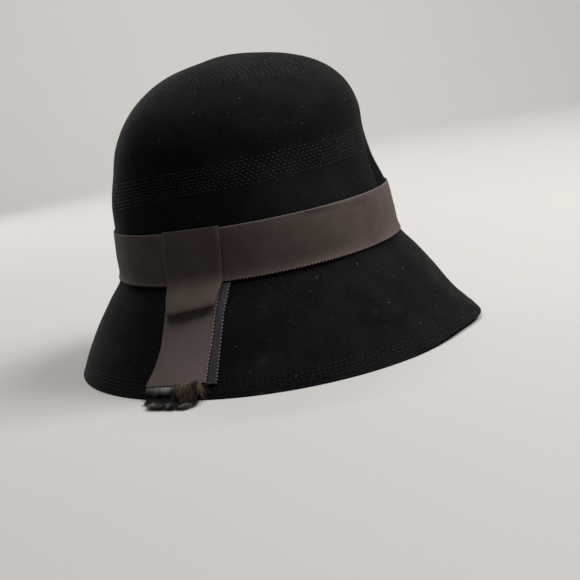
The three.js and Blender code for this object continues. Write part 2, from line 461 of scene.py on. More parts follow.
def repeated(name: str, template: bmesh.types.BMesh, frames: Array, origins: Array) -> bpy.types.Object:
    """One mesh of many copies of a small shape.

    Args:
        name: Name of the object.
        template: The small shape, which is used up.
        frames: For each copy, the three vectors that its X, Y and Z become.
        origins: Where each copy goes.

    Returns:
        The object.
    """
    corners = coordinates(template)
    shape = bpy.data.meshes.new(name + "_shape")
    template.to_mesh(shape)
    template.free()
    bm = bmesh.new()
    for _ in origins:
        bm.from_mesh(shape)
    bpy.data.meshes.remove(shape)
    points = np.einsum("vk,nkd->nvd", corners, frames) + origins[:, None, :]
    move_to(bm, points.reshape(-1, 3))
    return object_from(bm, name)


def strands_from(name: str, paths: Array, radii: Array, marks: dict[str, Array]) -> bpy.types.Object:
    """One mesh of many thin threads.

    Args:
        name: Name of the object.
        paths: Points along each thread, in metres.
        radii: Radius at each point, in metres, none at both ends.
        marks: Numbers at each point for the finish to read, by name.

    Returns:
        The object.
    """
    curve = bpy.data.curves.new(name + "_paths", "CURVE")
    curve.dimensions = "3D"
    curve.bevel_depth = 1.0
    curve.bevel_resolution = 0
    for path, radius in zip(paths, radii):
        spline = curve.splines.new("POLY")
        spline.points.add(len(path) - 1)
        spline.points.foreach_set("co", np.column_stack([path, np.ones(len(path))]).ravel())
        spline.points.foreach_set("radius", radius)
    draft = bpy.data.objects.new(curve.name, curve)
    bpy.context.scene.collection.objects.link(draft)
    graph = bpy.context.evaluated_depsgraph_get()
    mesh = bpy.data.meshes.new_from_object(draft.evaluated_get(graph))
    mesh.name = name
    bpy.data.objects.remove(draft)
    bpy.data.curves.remove(curve)
    for key, values in marks.items():
        layer = mesh.attributes.new(key, "FLOAT", "POINT")
        layer.data.foreach_set("value", np.repeat(values.ravel(), len(mesh.vertices) // values.size))
    bm = bmesh.new()
    bm.from_mesh(mesh)
    weld(bm)
    bm.to_mesh(mesh)
    bm.free()
    return add_object(name, mesh)


def dress_piece(piece: bpy.types.Object, material: bpy.types.Material, slot: Slot, *nodes: str) -> None:
    """Gives a piece its finish and its body, and hides the solids that it stands for.

    Args:
        piece: The object.
        material: Its finish.
        slot: The record's material slot; not used.
        *nodes: Solids that it replaces.
    """
    piece.data.materials.clear()
    piece.data.materials.append(material)
    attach(piece, BODY)
    if nodes:
        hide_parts(*nodes)
    log.info("%s: %d faces", piece.name, len(piece.data.polygons))


# Finishes


class Graph:
    """Adds nodes to a shader tree and joins them."""

    def __init__(self, tree: bpy.types.NodeTree) -> None:
        """Starts on a tree."""
        self.tree = tree

    def add(self, kind: str, inputs: dict | None = None, **settings: object) -> bpy.types.Node:
        """Adds a node.

        Args:
            kind: Type of the node.
            inputs: Values of its sockets, or other sockets to join to them.
            **settings: Properties of the node.

        Returns:
            The node.
        """
        node = self.tree.nodes.new(kind)
        for name, value in settings.items():
            setattr(node, name, value)
        self.feed(node, inputs or {})
        return node

    def feed(self, node: bpy.types.Node, inputs: dict) -> None:
        """Sets sockets of a node.

        Args:
            node: The node.
            inputs: Values of its sockets, or other sockets to join to them.
        """
        for key, value in inputs.items():
            if isinstance(value, bpy.types.NodeSocket):
                self.tree.links.new(value, node.inputs[key])
            else:
                node.inputs[key].default_value = value

    def blend(self, share: object, start: object, end: object) -> bpy.types.NodeSocket:
        """Mixes two colours.

        Args:
            share: Socket or number that says how much of the second shows.
            start: First colour.
            end: Second colour.

        Returns:
            The mixed colour.
        """
        node = self.add("ShaderNodeMix", {0: share, 6: start, 7: end}, data_type="RGBA")
        return node.outputs[2]

    def math(self, operation: str, first: object, second: object = 0.0) -> bpy.types.NodeSocket:
        """Works out a number from two others.

        Args:
            operation: Name of the sum.
            first: Socket or number.
            second: Socket or number.

        Returns:
            The result.
        """
        return self.add("ShaderNodeMath", {0: first, 1: second}, operation=operation).outputs[0]

    def span(
        self, value: object, low: float, high: float, start: float = 0.0, end: float = 1.0
    ) -> bpy.types.NodeSocket:
        """Maps a range of numbers onto another, held at its ends.

        Args:
            value: Socket that gives the number.
            low: Start of the range.
            high: End of the range.
            start: Result at low.
            end: Result at high.

        Returns:
            The mapped number.
        """
        inputs = {"Value": value, "From Min": low, "From Max": high, "To Min": start, "To Max": end}
        return self.add("ShaderNodeMapRange", inputs).outputs["Result"]

    def noise(self, vector: object, scale: object, detail: float, roughness: float) -> bpy.types.NodeSocket:
        """Cloudy pattern.

        Args:
            vector: Socket of the coordinates.
            scale: Waves to the metre.
            detail: Octaves.
            roughness: Strength of the finer octaves.

        Returns:
            The pattern's value.
        """
        inputs = {"Vector": vector, "Scale": scale, "Detail": detail, "Roughness": roughness}
        return self.add("ShaderNodeTexNoise", inputs).outputs["Fac"]

    def kept(self, name: str) -> bpy.types.NodeSocket:
        """Number that the piece keeps on its vertices."""
        return self.add("ShaderNodeAttribute", attribute_name=name).outputs["Fac"]

    def fibres(self, fibre_scale: float, patch_scale: float) -> bpy.types.NodeOutputs:
        """Fibre pattern over the piece.

        Args:
            fibre_scale: Fibres to the metre.
            patch_scale: Patches to the metre.

        Returns:
            The group's outputs: Fibre, Patch and Lint.
        """
        vector = self.add("ShaderNodeTexCoord").outputs["Object"]
        pattern = self.add("ShaderNodeGroup", node_tree=FibrePattern().group())
        self.feed(pattern, {"Vector": vector, "Fibre Scale": fibre_scale, "Patch Scale": patch_scale})
        return pattern.outputs

    def bump(self, height: object, strength: float, depth: float) -> bpy.types.NodeSocket:
        """Fine relief.

        Args:
            height: Socket of the relief.
            strength: Share of the relief that shows.
            depth: Depth of the relief, in metres.

        Returns:
            The normals.
        """
        inputs = {"Strength": strength, "Distance": depth, "Height": height}
        return self.add("ShaderNodeBump", inputs).outputs["Normal"]


def new_material(name: str) -> tuple[bpy.types.Material, Graph, bpy.types.Node]:
    """Starts a finish.

    Args:
        name: Name of the material.

    Returns:
        The material, its graph and its shader.
    """
    material = bpy.data.materials.new(name)
    material.use_nodes = True
    material.node_tree.nodes.clear()
    graph = Graph(material.node_tree)
    shader = graph.add("ShaderNodeBsdfPrincipled")
    graph.add("ShaderNodeOutputMaterial", {"Surface": shader.outputs[0]})
    return material, graph, shader


@dataclass(frozen=True)
class FibrePattern:
    """Fine fibres, broad patches and specks of lint over a surface."""

    name: str = "fibre_pattern"
    fibre_detail: float = 3.0
    fibre_roughness: float = 0.7
    fibre_range: tuple[float, float] = (0.3, 0.7)
    patch_detail: float = 2.0
    patch_roughness: float = 0.5
    patch_range: tuple[float, float] = (0.35, 0.65)
    lint_scale: float = 0.62
    lint_detail: float = 0.0
    lint_roughness: float = 0.5
    lint_range: tuple[float, float] = (0.81, 0.92)

    def group(self) -> bpy.types.NodeTree:
        """The pattern as a node group, built once."""
        if self.name in bpy.data.node_groups:
            return bpy.data.node_groups[self.name]
        tree = bpy.data.node_groups.new(self.name, "ShaderNodeTree")
        tree.interface.new_socket(name="Vector", in_out="INPUT", socket_type="NodeSocketVector")
        for scale in ("Fibre Scale", "Patch Scale"):
            tree.interface.new_socket(name=scale, in_out="INPUT", socket_type="NodeSocketFloat")
        for output in ("Fibre", "Patch", "Lint"):
            tree.interface.new_socket(name=output, in_out="OUTPUT", socket_type="NodeSocketFloat")
        graph = Graph(tree)
        source = graph.add("NodeGroupInput").outputs
        vector = source["Vector"]
        sparse = graph.math("MULTIPLY", source["Fibre Scale"], self.lint_scale)
        fibre = graph.noise(vector, source["Fibre Scale"], self.fibre_detail, self.fibre_roughness)
        patch = graph.noise(vector, source["Patch Scale"], self.patch_detail, self.patch_roughness)
        lint = graph.noise(vector, sparse, self.lint_detail, self.lint_roughness)
        graph.add(
            "NodeGroupOutput",
            {
                "Fibre": graph.span(fibre, *self.fibre_range),
                "Patch": graph.span(patch, *self.patch_range),
                "Lint": graph.span(lint, *self.lint_range),
            },
        )
        return tree


@dataclass(frozen=True)
class FeltFinish:
    """Black velour felt: a fine nap with a grey bloom, rubbed patches, a little lint and a painted highlight
    along the brim's front ridge.
    """

    deep: Colour = (0.0008, 0.0008, 0.0008, 1.0)
    bloom: Colour = (0.0040, 0.0041, 0.0040, 1.0)
    worn: Colour = (0.0054, 0.0055, 0.0054, 1.0)
    # Colour of lint, also of the painted highlight on the brim's front ridge.
    lint: Colour = (0.032, 0.032, 0.030, 1.0)
    fibre_scale: float = 720.0
    patch_scale: float = 45.0
    sheen: float = 0.036
    sheen_roughness: float = 0.35
    sheen_tint: Colour = (0.62, 0.64, 0.66, 1.0)
    specular: float = 0.03
    worn_share: float = 0.35
    lint_share: float = 0.8
    roughest: float = 0.98
    smoothest: float = 0.88
    nap_depth: float = 0.00018
    nap_strength: float = 0.6

    def material(self) -> bpy.types.Material:
        """The finish as a material; it reads the smears of lint and of painted highlight from the piece."""
        material, graph, shader = new_material("black_velour_felt")
        pattern = graph.fibres(self.fibre_scale, self.patch_scale)
        nap = graph.blend(pattern["Fibre"], self.deep, self.bloom)
        rubbed = graph.blend(graph.math("MULTIPLY", pattern["Patch"], self.worn_share), nap, self.worn)
        # Painted highlight: smears of lint colour on the brim's front ridge stand in for light; the other
        # smears are lint.
        smear = graph.math("MULTIPLY", graph.kept("smear"), pattern["Fibre"])
        speck_and_highlight = graph.math("MAXIMUM", graph.math("MULTIPLY", pattern["Lint"], self.lint_share), smear)
        graph.feed(
            shader,
            {
                "Base Color": graph.blend(speck_and_highlight, rubbed, self.lint),
                "Roughness": graph.span(pattern["Patch"], 0, 1, self.roughest, self.smoothest),
                "Normal": graph.bump(pattern["Fibre"], self.nap_strength, self.nap_depth),
                "Specular IOR Level": self.specular,
                "Sheen Weight": self.sheen,
                "Sheen Roughness": self.sheen_roughness,
                "Sheen Tint": self.sheen_tint,
            },
        )
        return material


@dataclass(frozen=True)
class RibbonFinish:
    """Grosgrain ribbon: ribs that catch the light over furrows darkened with painted shade."""

    name: str
    crest: Colour = (0.049, 0.035, 0.031, 1.0)
    # Painted shade in the furrows between the ribs; the random dark fuzz reuses this colour.
    shaded_furrow: Colour = (0.020, 0.014, 0.012, 1.0)
    rubbed: Colour = (0.066, 0.050, 0.046, 1.0)
    # Partly fading, partly painted light: the tails grow lighter towards their ends as if lit from below.
    faded_and_lit: Colour = (0.098, 0.075, 0.073, 1.0)
    selvage: Colour = (0.115, 0.100, 0.097, 1.0)
    fibre_scale: float = 1500.0
    patch_scale: float = 60.0
    sheen: float = 0.03
    sheen_roughness: float = 0.4
    specular: float = 0.09
    rib_range: tuple[float, float] = (-1.0, 0.6)
    rubbed_share: float = 0.35
    fuzz_share: float = 0.45
    roughest: float = 0.8
    smoothest: float = 0.6
    thread_depth: float = 0.00008
    thread_strength: float = 0.4

    def material(self) -> bpy.types.Material:
        """The finish as a material; it reads from the piece the ribs, whose furrows get painted shade, the
        edges, and the fade, which is partly fading and partly painted light.
        """
        material, graph, shader = new_material(self.name)
        pattern = graph.fibres(self.fibre_scale, self.patch_scale)
        raised = graph.span(graph.kept("rib"), *self.rib_range)
        # Painted shade: the furrows between the ribs are darkened towards the shaded furrow colour.
        painted_rib_shade = graph.blend(raised, self.shaded_furrow, self.crest)
        # Lighter towards the tails' ends: partly fading, partly painted light.
        faded_and_lit_end = graph.blend(graph.kept("fade"), painted_rib_shade, self.faded_and_lit)
        worn = graph.blend(graph.math("MULTIPLY", pattern["Patch"], self.rubbed_share), faded_and_lit_end, self.rubbed)
        fuzzed = graph.blend(graph.math("MULTIPLY", pattern["Fibre"], self.fuzz_share), worn, self.shaded_furrow)
        graph.feed(
            shader,
            {
                "Base Color": graph.blend(graph.kept("edge"), fuzzed, self.selvage),
                "Roughness": graph.span(raised, 0, 1, self.roughest, self.smoothest),
                "Normal": graph.bump(pattern["Fibre"], self.thread_strength, self.thread_depth),
                "Specular IOR Level": self.specular,
                "Sheen Weight": self.sheen,
                "Sheen Roughness": self.sheen_roughness,
            },
        )
        return material


@dataclass(frozen=True)
class StitchFinish:
    """Black sewing thread, a little glossier than the felt round it."""

    name: str
    dark: Colour = (0.0026, 0.0026, 0.0026, 1.0)
    light: Colour = (0.0072, 0.0072, 0.0071, 1.0)
    specular: float = 0.09
    fibre_scale: float = 2600.0
    patch_scale: float = 240.0
    smoothest: float = 0.5
    roughest: float = 0.65

    def material(self) -> bpy.types.Material:
        """The finish as a material."""
        material, graph, shader = new_material(self.name)
        pattern = graph.fibres(self.fibre_scale, self.patch_scale)
        graph.feed(
            shader,
            {
                "Base Color": graph.blend(pattern["Patch"], self.dark, self.light),
                "Roughness": graph.span(pattern["Fibre"], 0, 1, self.smoothest, self.roughest),
                "Specular IOR Level": self.specular,
            },
        )
        return material


@dataclass(frozen=True)
class FrayFinish:
    """Loose ribbon threads, grey or brown, with painted shade where they lie deep in the tuft."""

    # Near-black of the painted shade in the tuft's hollow, also the colour of random dark fibres.
    deep: Colour = (0.0030, 0.0028, 0.0030, 1.0)
    grey: Colour = (0.150, 0.146, 0.144, 1.0)
    brown: Colour = (0.110, 0.078, 0.048, 1.0)
    fibre_scale: float = 2600.0
    patch_scale: float = 420.0
    deep_share: float = 0.4
    smoothest: float = 0.8
    roughest: float = 0.95
    specular: float = 0.06

    def material(self) -> bpy.types.Material:
        """The finish as a material; it reads from the piece each thread's tone, which is a painted shade, and
        its tint.
        """
        material, graph, shader = new_material("frayed_threads")
        pattern = graph.fibres(self.fibre_scale, self.patch_scale)
        body = graph.blend(graph.kept("tint"), self.grey, self.brown)
        # Painted shade: a low tone darkens the thread towards deep where it lies in the tuft's hollow.
        thread = graph.blend(graph.kept("tone"), self.deep, body)
        hollow = graph.math("MULTIPLY", pattern["Fibre"], self.deep_share)
        graph.feed(
            shader,
            {
                "Base Color": graph.blend(hollow, thread, self.deep),
                "Roughness": graph.span(pattern["Patch"], 0, 1, self.smoothest, self.roughest),
                "Specular IOR Level": self.specular,
            },
        )
        return material


@dataclass(frozen=True)
class FloorFinish:
    """Plain pale floor."""

    low: Colour = (0.204, 0.201, 0.196, 1.0)
    high: Colour = (0.212, 0.209, 0.204, 1.0)
    cloud_scale: float = 3.0
    cloud_detail: float = 2.0
    cloud_roughness: float = 0.5
    roughness: float = 0.95
    specular: float = 0.1

    def material(self) -> bpy.types.Material:
        """The finish as a material."""
        material, graph, shader = new_material("pale_floor")
        vector = graph.add("ShaderNodeTexCoord").outputs["Object"]
        tone = graph.noise(vector, self.cloud_scale, self.cloud_detail, self.cloud_roughness)
        graph.feed(
            shader,
            {
                "Base Color": graph.blend(tone, self.low, self.high),
                "Roughness": self.roughness,
                "Specular IOR Level": self.specular,
            },
        )
        return material


# Pieces of the hat


@dataclass(frozen=True)
class Wave:
    """Slow waves round the hat: how many, how they lean as they climb, where they start and their depth."""

    turns: int
    lean: float
    start: float
    depth: float

    def at(self, angle: Array, climb: Array) -> Array:
        """Depths at angles round the hat and places up it."""
        return self.depth * np.sin(self.turns * angle + self.lean * climb + self.start)


@dataclass(frozen=True)
class Level:
    """A height that differs between the front, the side and the back."""

    front: float
    side: float
    back: float

    def at(self, angle: Array) -> Array:
        """Heights round the hat.

        Args:
            angle: Angles round the hat.

        Returns:
            One height for each angle.
        """
        forward = np.cos(angle)
        end = np.where(forward > 0, self.front, self.back)
        return self.side + (end - self.side) * forward**2


@dataclass(frozen=True)
class StitchBelt:
    """Rows of topstitching between two levels."""

    name: str
    rows: int
    low: Level
    high: Level
    thread: StitchFinish
    pitch: float = 3.7
    samples: int = 361
    fade: float = 0.04

    def edges(self, form: HatForm, angle: Array) -> tuple[Array, Array]:
        """Felt rows of the belt's lower and upper edge.

        Args:
            form: The felt's form.
            angle: Angles round the hat.

        Returns:
            The lower and the upper rows.
        """
        ring = np.linspace(0.0, TURN, self.samples)
        low, high = (form.row_at(ring, level.at(ring)) for level in (self.low, self.high))
        return np.interp(angle % TURN, ring, low), np.interp(angle % TURN, ring, high)

    def relief(self, form: HatForm, angle: Array, row: Array) -> Array:
        """Soft ridges between the stitched rows.

        Args:
            form: The felt's form.
            angle: Angles round the hat.
            row: Places between the sections.

        Returns:
            A wave from -1 in the rows to 1 between them, 0 outside the belt.
        """
        low, high = self.edges(form, angle)
        share = (row - low) / (high - low)
        inside = smoothstep(share, -self.fade, self.fade / 2)
        inside = inside * (1 - smoothstep(share, 1 - self.fade / 2, 1 + self.fade))
        return inside * np.cos(TURN * self.rows * share)


CROWN_THREAD = StitchFinish("black_thread")
# Painted shade: the brim's stitches get a darker copy of the black thread's finish with a bluish cast, which
# keeps them dim under the top light.
BRIM_THREAD = StitchFinish("shaded_brim_thread", light=(0.0040, 0.0045, 0.0056, 1.0), specular=0.07)
BELTS = (
    StitchBelt("crown_stitches", 8, Level(130.5, 128.5, 116.7), Level(149.5, 145.5, 139.7), CROWN_THREAD),
    StitchBelt("dome_stitches", 9, Level(191.0, 195.0, 186.0), Level(204.5, 207.5, 206.0), CROWN_THREAD),
    StitchBelt("brim_stitches", 4, Level(2.7, 3.2, 3.2), Level(10.6, 12.4, 12.4), BRIM_THREAD),
)


@dataclass(frozen=True)
class Smear:
    """A smear on the felt: where it lies, how wide it is and how much of it there is. Most are lint; some are
    painted highlight.
    """

    angle: float
    height: float
    radius: float
    strength: float


SMEARS = (
    Smear(127.0, 28.0, 4.5, 0.40),
    Smear(130.0, 20.0, 3.5, 0.28),
    Smear(77.0, 19.0, 2.8, 0.45),
    Smear(73.0, 50.0, 2.4, 0.25),
    Smear(40.0, 33.0, 2.8, 0.22),
    Smear(3.0, 5.0, 2.2, 0.40),
    # Painted highlight: these three smears lighten the brim's front ridge where the key light catches it.
    Smear(2.0, 22.0, 6.0, 0.15),
    Smear(3.0, 36.0, 7.0, 0.17),
    Smear(5.0, 52.0, 7.0, 0.14),
    Smear(214.0, 30.0, 3.6, 0.30),
    Smear(300.0, 24.0, 3.0, 0.28),
)


@dataclass
class FeltBody:
    """The blocked felt: one shell, stitched in belts, with a rounded edge."""

    form: HatForm
    wall: float = 2.2
    hem_wall: float = 3.0
    hem_depth: float = 14.0
    # Share of the way from the outer to the inner face, and height there.
    hem_profile: tuple[tuple[float, float], ...] = (
        (0.0, 0.95),
        (0.03, 0.45),
        (0.11, 0.13),
        (0.25, 0.0),
        (0.75, 0.0),
        (0.89, 0.13),
        (0.97, 0.45),
        (1.0, 0.95),
    )
    hem_row: float = 0.17
    columns: int = 240
    crowding: float = 0.55
    # First row, last row and number of rings of each strip.
    outer_strips: tuple[tuple[float, float, int], ...] = (
        (0.07, 0.75, 20),
        (0.75, 6.65, 32),
        (6.65, 8.3, 46),
        (8.3, 10.0, 12),
        (10.0, 12.3, 56),
        (12.3, 14.0, 14),
    )
    inner_rows: int = 56
    quilting: float = 0.11
    waves: tuple[Wave, ...] = (Wave(3, 0.9, 0.0, 0.25), Wave(5, -1.7, 1.0, 0.175))
    calm_rim: float = 1.0
    # Rows below the tip between which the waves die out.
    calm_tip: tuple[float, float] = (2.0, 0.5)

    def surface(self, angle: Array, row: Array) -> Array:
        """Outer face with the stitched relief and the slight unevenness of blocked felt.

        Args:
            angle: Angles round the hat.
            row: Places between the sections.

        Returns:
            One point for each pair.
        """
        relief = sum(belt.relief(self.form, angle, row) for belt in BELTS) * self.quilting
        start, end = (self.form.tip - calm for calm in self.calm_tip)
        fade = smoothstep(row, 0.0, self.calm_rim) * (1 - smoothstep(row, start, end))
        waves = sum(wave.at(angle, row) for wave in self.waves)
        return self.form.offset(self.form.felt, angle, row, relief + fade * waves)

    def inner(self, angle: Array, row: Array) -> Array:
        """Inner face, one wall below the outer one.

        Args:
            angle: Angles round the hat.
            row: Places between the sections.

        Returns:
            One point for each pair.
        """
        height = self.form.felt(angle, row)[:, 2]
        wall = mix(self.hem_wall, self.wall, smoothstep(height, 0.0, self.hem_depth))
        return self.form.offset(self.form.felt, angle, row, -wall)

    def hem(self, angle: Array, across: Array, lift: Array) -> Array:
        """Rounded edge under the rim.

        Args:
            angle: Angles round the hat.
            across: Shares of the way from the outer to the inner face.
            lift: Heights above the rim's foot.

        Returns:
            One point for each triple.
        """
        rim = np.zeros_like(angle)
        level = self.form.slopes(self.form.felt, angle, rim)[1]
        level[:, 2] = 0.0
        size = np.linalg.norm(level, axis=1, keepdims=True)
        points = self.form.felt(angle, rim) - level / size**2 * (self.hem_wall * across)[:, None]
        points[:, 2] += lift
        return points

    def lint(self, points: Array) -> Array:
        """How much lint and painted highlight lies on the felt.

        Args:
            points: Points of the felt.

        Returns:
            A share for each point.
        """
        total = np.zeros(len(points))
        for smear in SMEARS:
            angle = np.radians([smear.angle])
            centre = self.form.felt(angle, self.form.row_at(angle, smear.height))
            distance = np.linalg.norm(points - centre, axis=1)
            total += smear.strength * np.exp(-((distance / smear.radius) ** 2))
        return total

    def build(self) -> bpy.types.Object:
        """The felt as one closed shell."""
        outer = np.concatenate([np.linspace(a, b, n, endpoint=False) for a, b, n in self.outer_strips])
        outer = np.append(outer, float(self.form.tip))[::-1]
        hem = np.array(self.hem_profile)
        inner = np.linspace(self.hem_row, float(self.form.tip), self.inner_rows)
        counts = (len(outer), len(hem), len(inner))
        bm = flat_patch(self.columns, sum(counts) - 1)
        grid = coordinates(bm)
        turn = TURN * grid[:, 0]
        angle = turn - self.crowding * np.sin(turn)
        index = np.rint(grid[:, 1] * (sum(counts) - 1)).astype(int)
        points = np.zeros_like(grid)
        on_outer = index < counts[0]
        on_inner = index >= counts[0] + counts[1]
        on_hem = ~(on_outer | on_inner)
        points[on_outer] = self.surface(angle[on_outer], outer[index[on_outer]])
        stop = hem[index[on_hem] - counts[0]]
        points[on_hem] = self.hem(angle[on_hem], stop[:, 0], stop[:, 1])
        points[on_inner] = self.inner(angle[on_inner], inner[index[on_inner] - counts[0] - counts[1]])
        tip = np.array([0.0, 0.0, self.form.sections[-1].height])
        points[index == 0] = tip
        points[index == sum(counts) - 1] = tip - [0.0, 0.0, self.wall]
        move_to(bm, self.form.place(points))
        # Lint, and a painted highlight on the brim's front ridge.
        mark(bm, "smear", self.lint(points) * on_outer)
        weld(bm)
        bmesh.ops.recalc_face_normals(bm, faces=bm.faces)
        return object_from(bm, "felt_shell")

    def dress(self, finish: FeltFinish) -> None:
        """Adds the felt with its finish."""
        dress_piece(self.build(), finish.material(), Slot.FELT, "felt_body")


@dataclass
class Topstitching:
    """Rows of stitches in the belts, each stitch a small spindle half sunk in the felt."""

    body: FeltBody
    half_length: float = 1.15
    half_width: float = 0.42
    half_height: float = 0.30
    lift: float = 0.08
    jitter: float = 0.08
    sides: int = 6
    rings: int = 4
    stagger: float = 0.5
    first: float = 0.25
    samples: int = 1440
    seed: int = 11

    def template(self) -> bmesh.types.BMesh:
        """One stitch along X, of length two both ways."""
        bm = bmesh.new()
        bmesh.ops.create_uvsphere(bm, u_segments=self.sides, v_segments=self.rings, radius=1.0)
        bmesh.ops.rotate(bm, verts=bm.verts, matrix=Matrix.Rotation(math.pi / 2, 3, "Y"))
        bmesh.ops.triangulate(bm, faces=bm.faces)
        return bm

    def stitch_places(self, belt: StitchBelt) -> tuple[Array, Array]:
        """Where the stitches of a belt go.

        Args:
            belt: The belt.

        Returns:
            Their angles and felt rows.
        """
        form = self.body.form
        ring = np.linspace(0.0, TURN, self.samples)
        low, high = belt.edges(form, ring)
        angles, rows = [], []
        for number in range(belt.rows):
            row = mix(low, high, (number + 0.5) / belt.rows)
            length = run_length(form.felt(ring, row))
            count = round(length[-1] / belt.pitch)
            shift = self.stagger * (number % 2) + self.first
            place = (np.arange(count) + shift) * length[-1] / count
            angles.append(np.interp(place, length, ring))
            rows.append(np.interp(place, length, row))
        return np.concatenate(angles), np.concatenate(rows)

    def build(self, belt: StitchBelt) -> bpy.types.Object:
        """The stitches of a belt as one mesh.

        Args:
            belt: The belt.

        Returns:
            The object.
        """
        angle, row = self.stitch_places(belt)
        draw = np.random.default_rng(self.seed)
        tangent, normal = self.body.form.slopes(self.body.form.felt, angle, row)
        turn = draw.normal(0.0, self.jitter, len(angle))[:, None]
        along = unit(tangent + np.cross(normal, tangent) * turn)
        across = np.cross(normal, along)
        stretch = 1 + draw.normal(0.0, self.jitter, len(angle))[:, None]
        axes = [along * stretch * self.half_length, across * self.half_width, normal * self.half_height]
        points = self.body.surface(angle, row) + normal * self.lift
        return repeated(belt.name, self.template(), np.stack(axes, axis=1) * MM, self.body.form.place(points))

    def dress(self) -> None:
        """Adds every belt with the finish of its thread."""
        threads = dict.fromkeys(belt.thread for belt in BELTS)
        finishes = {thread: thread.material() for thread in threads}
        for belt in BELTS:
            dress_piece(self.build(belt), finishes[belt.thread], Slot.THREADS)


@dataclass(frozen=True)
class Grosgrain:
    """The ribbon's weave: ribs across its width and small loops along both edges."""

    rib_pitch: float = 1.45
    rib_height: float = 0.09
    loop_pitch: float = 2.4
    loop: float = 0.45
    loop_width: float = 1.0
    loop_start: float = -0.3
    loop_full: float = 0.9
    thickness: float = 0.8
    faces_to_a_rib: int = 4

    def faces_in(self, length: float) -> int:
        """Faces along a length of ribbon."""
        return self.faces_to_a_rib * round(length / self.rib_pitch)

    def ribs(self, share: Array, length: float) -> Array:
        """Waves of the ribs, 1 on a rib and -1 in a furrow.

        Args:
            share: Shares of the way along the ribbon.
            length: Length of the ribbon.

        Returns:
            One number for each share.
        """
        return np.cos(TURN * share * round(length / self.rib_pitch))

    def loops(self, share: Array, length: float) -> Array:
        """Waves of the edge's loops, 1 at a loop's tip and -1 between two loops.

        Args:
            share: Shares of the way along the ribbon.
            length: Length of the ribbon.

        Returns:
            One number for each share.
        """
        return np.cos(TURN * share * round(length / self.loop_pitch))

    def edge_light(self, loops: Array, inset: Array) -> Array:
        """How light the edge's loops are.

        Args:
            loops: Waves of the loops.
            inset: Distances from the nearest edge.

        Returns:
            A share from 0 to 1 for each place.
        """
        tips = smoothstep(loops, self.loop_start, self.loop_full)
        return tips * (1 - smoothstep(inset, 0.0, self.loop_width))

    def thicken(self, piece: bpy.types.Object) -> None:
        """Gives a ribbon its thickness, inward from its outer face.

        Args:
            piece: The ribbon, still a single face.
        """
        wall = piece.modifiers.new("ribbon_thickness", "SOLIDIFY")
        wall.thickness = self.thickness * MM
        wall.offset = -1.0
        wall.use_even_offset = False


